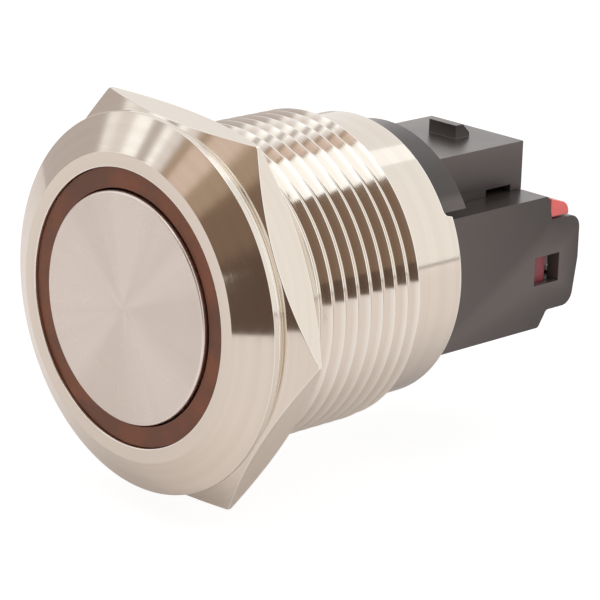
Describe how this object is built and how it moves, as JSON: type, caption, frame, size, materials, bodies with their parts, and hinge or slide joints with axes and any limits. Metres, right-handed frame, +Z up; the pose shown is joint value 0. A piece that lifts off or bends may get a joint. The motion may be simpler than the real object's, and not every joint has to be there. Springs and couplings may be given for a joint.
{
  "type": "illuminated metal push button",
  "caption": "Round metal push button with a lit ring, threaded barrel, hexagon nut and black rear block with cells for wire terminals.",
  "frame": {"origin": "on the axis, in the plane of the bezel's underside, where the panel's front face lies", "axes": "+Y along the axis from the button to the rear block, +Z up with the raised box on top, +X to the right seen from the front"},
  "size_m": [0.0254, 0.0319, 0.0228],
  "materials": {
    "nickel": "turned, nickel plated, bright",
    "cap_metal": "face turned fine, satin",
    "ring_plastic": "translucent light ring, unlit",
    "rubber": "black seal rubber",
    "white_plastic": "natural moulded plastic",
    "board": "lamp board",
    "led_resin": "LED chips",
    "spring_steel": "bright spring steel",
    "contact_brass": "stamped strip",
    "silver": "silver contact tips",
    "black_plastic": "dark moulded plastic",
    "red_plastic": "translucent red moulding",
    "resistor_coat": "coated resistor with its wires"
  },
  "bodies": {
    "body": {"shell": "nickel", "light_ring": "ring_plastic", "panel_seal": "rubber", "guide_sleeve": "white_plastic", "led_board": "board", "leds": "led_resin", "return_spring": "spring_steel", "switch_base": "black_plastic", "terminal_block": "black_plastic", "terminal_lock": "red_plastic", "terminal_com": "contact_brass", "terminal_nc": "contact_brass", "terminal_no": "contact_brass", "terminal_led_minus": "contact_brass", "terminal_led_plus": "contact_brass", "led_lead": "contact_brass", "led_resistor": "resistor_coat"},
    "button": {"button_cap": "cap_metal", "button_seal": "rubber", "plunger": "white_plastic", "retaining_clip": "spring_steel", "contact_bridge": "contact_brass", "bridge_tips": "silver", "push_washer": "spring_steel"},
    "washer": {"washer": "nickel"},
    "nut": {"hex_nut": "nickel"}
  },
  "joints": [
    {"name": "button_press", "type": "slide", "parent": "body", "child": "button", "axis": [0, 1, 0], "range_m": [0, 0.0022], "stiffness_N_per_m": 600, "springref_m": -0.003, "deforming": ["return_spring"]},
    {"name": "nut_travel", "type": "slide", "parent": "body", "child": "washer", "axis": [0, 1, 0], "range_m": [0, 0.009]},
    {"name": "nut_turn", "type": "hinge", "parent": "washer", "child": "nut", "pos_m": [0, 0, 0], "axis": [0, 1, 0], "range_deg": [-1, 3241]}
  ],
  "couplings": [
    {"joint": "nut_turn", "follows": "nut_travel", "rad_per_m": 6283.2}
  ]
}
